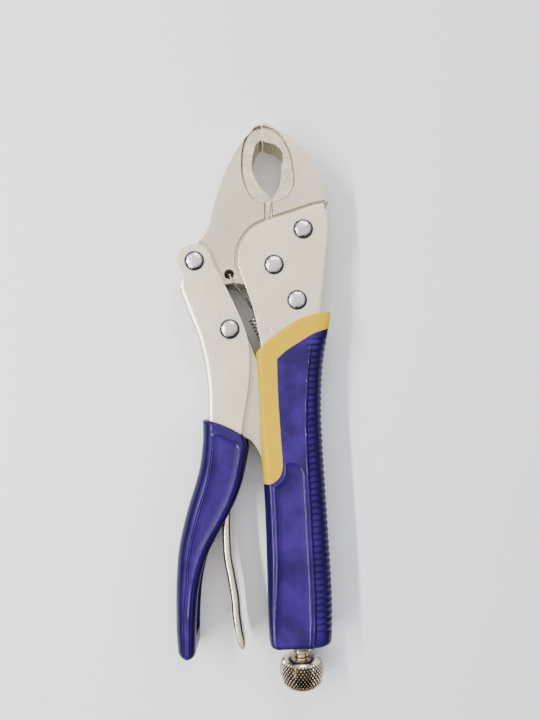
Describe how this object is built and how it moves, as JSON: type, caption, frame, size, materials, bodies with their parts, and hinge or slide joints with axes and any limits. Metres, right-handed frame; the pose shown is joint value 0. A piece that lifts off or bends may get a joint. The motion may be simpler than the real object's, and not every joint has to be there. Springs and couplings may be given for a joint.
{
  "type": "locking pliers",
  "caption": "Locking pliers with curved toothed jaws, a wire cutter, a toggle linkage with release lever, a knurled adjusting screw and two-colour moulded grips, closed and locked.",
  "frame": {"origin": "centre of the bounding box on the underside, on the surface that the tool lies on", "axes": "+Y along the adjusting screw towards the jaws, +X towards the fixed jaw's back, +Z through the tool's thickness"},
  "size_m": [0.0724, 0.25, 0.0214],
  "materials": {
    "handle_channel": "satin nickel plated sheet steel",
    "fixed_jaw": "forged steel, satin nickel plated",
    "moving_jaw": "forged steel, satin nickel plated",
    "lever_channel": "satin nickel plated sheet steel",
    "toggle_link": "satin nickel plated steel",
    "release_lever": "satin nickel plated steel",
    "jaw_spring": "bright spring wire",
    "adjusting_screw": "bright nickel plated thread",
    "adjusting_knob": "bright nickel plated, knurled",
    "neck_ring": "bright nickel plated",
    "screw_collar": "satin nickel plated",
    "jaw_pivot_rivet": "polished domed rivet",
    "fixed_jaw_rivet_front": "polished domed rivet",
    "fixed_jaw_rivet_rear": "polished domed rivet",
    "lever_pivot_rivet": "polished domed rivet",
    "link_pivot_rivet": "polished domed rivet",
    "release_lever_pin": "plain steel pin",
    "handle_grip": "soft-touch moulded plastic, navy blue",
    "handle_grip_accent": "soft-touch moulded plastic, yellow",
    "lever_grip": "soft-touch moulded plastic, navy blue"
  },
  "bodies": {
    "handle": {"handle_channel": "handle_channel", "fixed_jaw": "fixed_jaw", "jaw_pivot_rivet": "jaw_pivot_rivet", "fixed_jaw_rivet_front": "fixed_jaw_rivet_front", "fixed_jaw_rivet_rear": "fixed_jaw_rivet_rear", "screw_collar": "screw_collar", "handle_grip": "handle_grip", "handle_grip_accent": "handle_grip_accent", "jaw_spring": "jaw_spring"},
    "moving_jaw": {"moving_jaw": "moving_jaw"},
    "lever": {"lever_channel": "lever_channel", "lever_pivot_rivet": "lever_pivot_rivet", "link_pivot_rivet": "link_pivot_rivet", "release_lever_pin": "release_lever_pin", "lever_grip": "lever_grip"},
    "link": {"toggle_link": "toggle_link"},
    "release_lever": {"release_lever": "release_lever"},
    "screw": {"adjusting_screw": "adjusting_screw", "neck_ring": "neck_ring"},
    "knob": {"adjusting_knob": "adjusting_knob"}
  },
  "joints": [
    {"name": "jaw_pivot", "type": "hinge", "parent": "handle", "child": "moving_jaw", "pos_m": [0.01031, 0.0591, 0.0107], "axis": [0, 0, 1], "range_deg": [0, 12], "deforming": ["jaw_spring"]},
    {"name": "lever_pivot", "type": "hinge", "parent": "moving_jaw", "child": "lever", "pos_m": [-0.02519, 0.0618, 0.0107], "axis": [0, 0, -1], "range_deg": [0, 48]},
    {"name": "link_pivot", "type": "hinge", "parent": "lever", "child": "link", "pos_m": [-0.01009, 0.0307, 0.0107], "axis": [0, 0, 1], "range_deg": [0, 54.5]},
    {"name": "release_lever_pivot", "type": "hinge", "parent": "lever", "child": "release_lever", "pos_m": [-0.01429, -0.0329, 0.0107], "axis": [0, 0, -1], "range_deg": [0, 12]},
    {"name": "screw_travel", "type": "slide", "parent": "handle", "child": "screw", "axis": [0, -1, 0], "range_m": [0, 0.02]},
    {"name": "knob_turn", "type": "hinge", "parent": "screw", "child": "knob", "pos_m": [0.01741, -0.1189, 0.0107], "axis": [0, -1, 0], "range_deg": [0, 5760]}
  ],
  "couplings": [
    {"joint": "jaw_pivot", "follows": "lever_pivot", "ratio": 0.25},
    {"joint": "link_pivot", "follows": "lever_pivot", "ratio": 1.135},
    {"joint": "knob_turn", "follows": "screw_travel", "rad_per_m": 5026.5}
  ]
}
